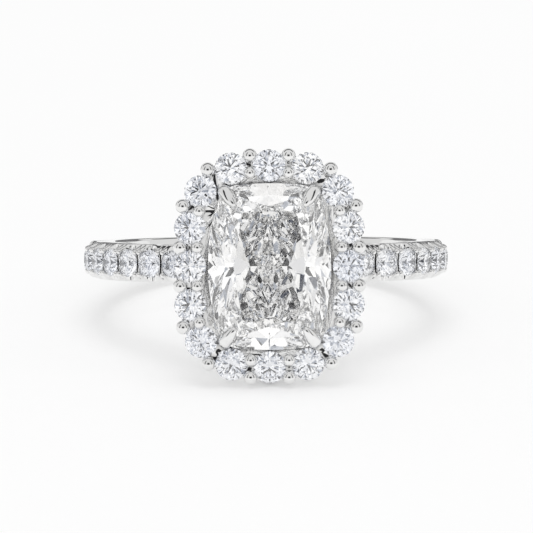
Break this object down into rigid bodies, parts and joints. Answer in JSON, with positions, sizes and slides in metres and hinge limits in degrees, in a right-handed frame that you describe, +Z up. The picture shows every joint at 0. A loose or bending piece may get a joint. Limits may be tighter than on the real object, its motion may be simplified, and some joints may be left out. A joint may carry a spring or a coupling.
{
  "type": "halo ring",
  "caption": "Finger ring with an elongated cushion stone in four claws, a halo of round stones held by beads, and a scalloped stone-set band.",
  "frame": {"origin": "on the surface that the ring lies on, below the middle of its box", "axes": "+X to the wearer's side, -Y from the finger hole to the head, +Z up; the finger hole's axis leans 13.7 degrees from +Z towards +Y, because the ring lies on its side"},
  "size_m": [0.0206, 0.0242, 0.0125],
  "materials": {
    "white_gold": "polished",
    "centre_diamond": "faceted",
    "halo_diamonds": "faceted",
    "band_diamonds": "faceted"
  },
  "bodies": {
    "root": {"setting": "white_gold", "centre_stone": "centre_diamond", "halo_stone_1": "halo_diamonds", "halo_stone_2": "halo_diamonds", "halo_stone_3": "halo_diamonds", "halo_stone_4": "halo_diamonds", "halo_stone_5": "halo_diamonds", "halo_stone_6": "halo_diamonds", "halo_stone_7": "halo_diamonds", "halo_stone_8": "halo_diamonds", "halo_stone_9": "halo_diamonds", "halo_stone_10": "halo_diamonds", "halo_stone_11": "halo_diamonds", "halo_stone_12": "halo_diamonds", "halo_stone_13": "halo_diamonds", "halo_stone_14": "halo_diamonds", "halo_stone_15": "halo_diamonds", "halo_stone_16": "halo_diamonds", "band_stone_right_1": "band_diamonds", "band_stone_right_2": "band_diamonds", "band_stone_right_3": "band_diamonds", "band_stone_right_4": "band_diamonds", "band_stone_right_5": "band_diamonds", "band_stone_right_6": "band_diamonds", "band_stone_right_7": "band_diamonds", "band_stone_right_8": "band_diamonds", "band_stone_left_1": "band_diamonds", "band_stone_left_2": "band_diamonds", "band_stone_left_3": "band_diamonds", "band_stone_left_4": "band_diamonds", "band_stone_left_5": "band_diamonds", "band_stone_left_6": "band_diamonds", "band_stone_left_7": "band_diamonds", "band_stone_left_8": "band_diamonds"}
  },
  "joints": []
}
